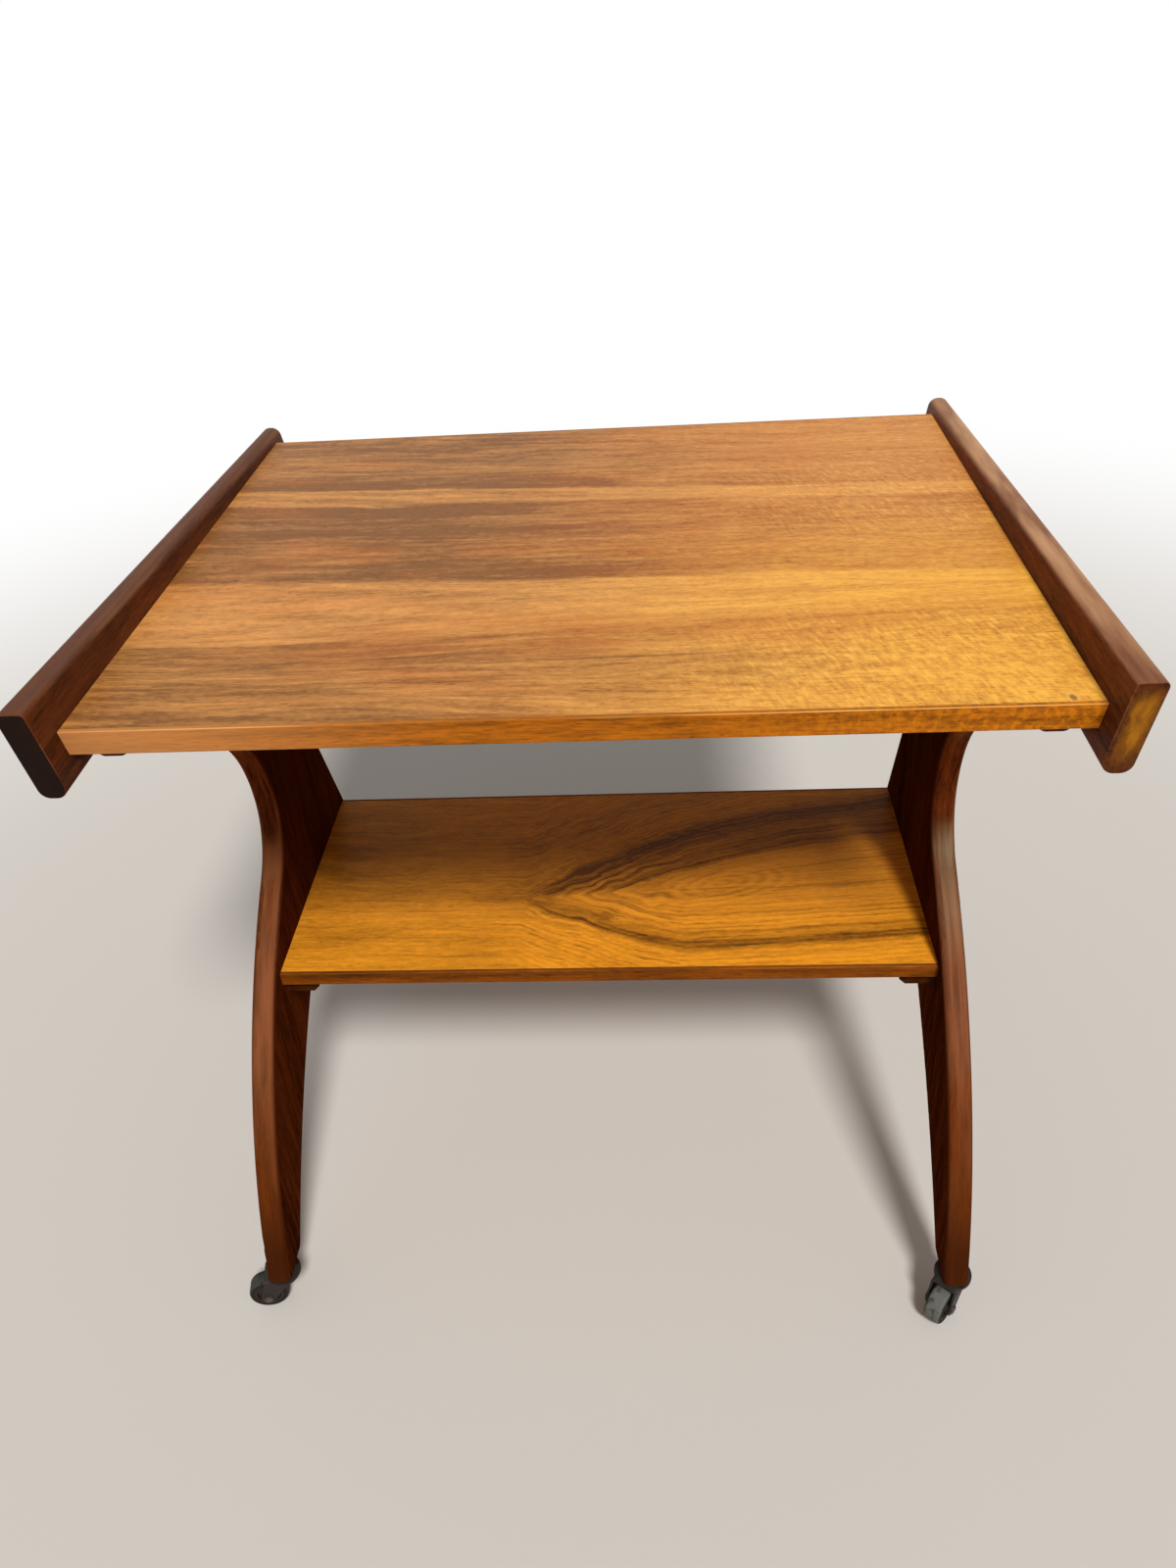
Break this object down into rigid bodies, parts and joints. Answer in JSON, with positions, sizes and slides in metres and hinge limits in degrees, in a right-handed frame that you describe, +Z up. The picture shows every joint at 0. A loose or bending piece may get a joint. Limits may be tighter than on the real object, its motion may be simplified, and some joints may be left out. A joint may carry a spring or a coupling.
{
  "type": "tea trolley",
  "caption": "Two-tier wooden tea trolley with leaning handle rails, shaped end frames, a lower shelf and swivelling castors.",
  "frame": {"origin": "on the floor under the middle of the trolley, in plan the centre of the top", "axes": "+X along the top from the left rail to the right rail, +Y from the front edge to the rear edge, +Z up"},
  "size_m": [0.7852, 0.6846, 0.733],
  "materials": {
    "top_veneer": "satin French polish, worn",
    "top_lipping": "satin French polish, worn",
    "rail_wood": "satin French polish",
    "leg_wood": "satin French polish",
    "shelf_veneer": "satin French polish",
    "shelf_lipping": "satin French polish",
    "cleat_wood": "bare, planed",
    "dowel_wood": "bare, turned",
    "screw_steel": "dull",
    "fork_metal": "dark, oxidised",
    "stem_metal": "dull",
    "axle_metal": "dull, oxidised",
    "socket_metal": "dull, oxidised",
    "core": "dull brown moulding",
    "tyre": "worn, dusty"
  },
  "bodies": {
    "frame": {"top_board": "top_veneer", "top_front_lipping": "top_lipping", "top_rear_lipping": "top_lipping", "left_handle_rail": "rail_wood", "right_handle_rail": "rail_wood", "left_front_leg": "leg_wood", "left_rear_leg": "leg_wood", "right_front_leg": "leg_wood", "right_rear_leg": "leg_wood", "shelf_board": "shelf_veneer", "shelf_front_lipping": "shelf_lipping", "shelf_rear_lipping": "shelf_lipping", "left_top_cleat": "cleat_wood", "right_top_cleat": "cleat_wood", "left_shelf_cleat": "cleat_wood", "right_shelf_cleat": "cleat_wood", "rail_dowels": "dowel_wood", "leg_dowels": "dowel_wood", "top_cleat_screws": "screw_steel", "shelf_cleat_screws": "screw_steel", "castor_socket_front_left": "socket_metal", "castor_socket_front_right": "socket_metal", "castor_socket_rear_left": "socket_metal", "castor_socket_rear_right": "socket_metal"},
    "fork_front_left": {"castor_fork_front_left": "fork_metal", "castor_stem_front_left": "stem_metal", "castor_axle_front_left": "axle_metal"},
    "wheel_front_left": {"wheel_core_front_left": "core", "wheel_tyre_front_left": "tyre"},
    "fork_front_right": {"castor_fork_front_right": "fork_metal", "castor_stem_front_right": "stem_metal", "castor_axle_front_right": "axle_metal"},
    "wheel_front_right": {"wheel_core_front_right": "core", "wheel_tyre_front_right": "tyre"},
    "fork_rear_left": {"castor_fork_rear_left": "fork_metal", "castor_stem_rear_left": "stem_metal", "castor_axle_rear_left": "axle_metal"},
    "wheel_rear_left": {"wheel_core_rear_left": "core", "wheel_tyre_rear_left": "tyre"},
    "fork_rear_right": {"castor_fork_rear_right": "fork_metal", "castor_stem_rear_right": "stem_metal", "castor_axle_rear_right": "axle_metal"},
    "wheel_rear_right": {"wheel_core_rear_right": "core", "wheel_tyre_rear_right": "tyre"}
  },
  "joints": [
    {"name": "swivel_front_left", "type": "hinge", "parent": "frame", "child": "fork_front_left", "pos_m": [-0.3391, -0.308, 0.0475], "axis": [0, 0, 1], "continuous": true},
    {"name": "roll_front_left", "type": "hinge", "parent": "fork_front_left", "child": "wheel_front_left", "pos_m": [-0.35781, -0.3113, 0.02], "axis": [0.1736, -0.9848, 0], "continuous": true},
    {"name": "swivel_front_right", "type": "hinge", "parent": "frame", "child": "fork_front_right", "pos_m": [0.3391, -0.308, 0.0475], "axis": [0, 0, 1], "continuous": true},
    {"name": "roll_front_right", "type": "hinge", "parent": "fork_front_right", "child": "wheel_front_right", "pos_m": [0.32714, -0.32277, 0.02], "axis": [0.7771, -0.6293, 0], "continuous": true},
    {"name": "swivel_rear_left", "type": "hinge", "parent": "frame", "child": "fork_rear_left", "pos_m": [-0.3391, 0.308, 0.0475], "axis": [0, 0, 1], "continuous": true},
    {"name": "roll_rear_left", "type": "hinge", "parent": "fork_rear_left", "child": "wheel_rear_left", "pos_m": [-0.35781, 0.3113, 0.02], "axis": [-0.1736, -0.9848, 0], "continuous": true},
    {"name": "swivel_rear_right", "type": "hinge", "parent": "frame", "child": "fork_rear_right", "pos_m": [0.3391, 0.308, 0.0475], "axis": [0, 0, 1], "continuous": true},
    {"name": "roll_rear_right", "type": "hinge", "parent": "fork_rear_right", "child": "wheel_rear_right", "pos_m": [0.32714, 0.32277, 0.02], "axis": [-0.7771, -0.6293, 0], "continuous": true}
  ]
}
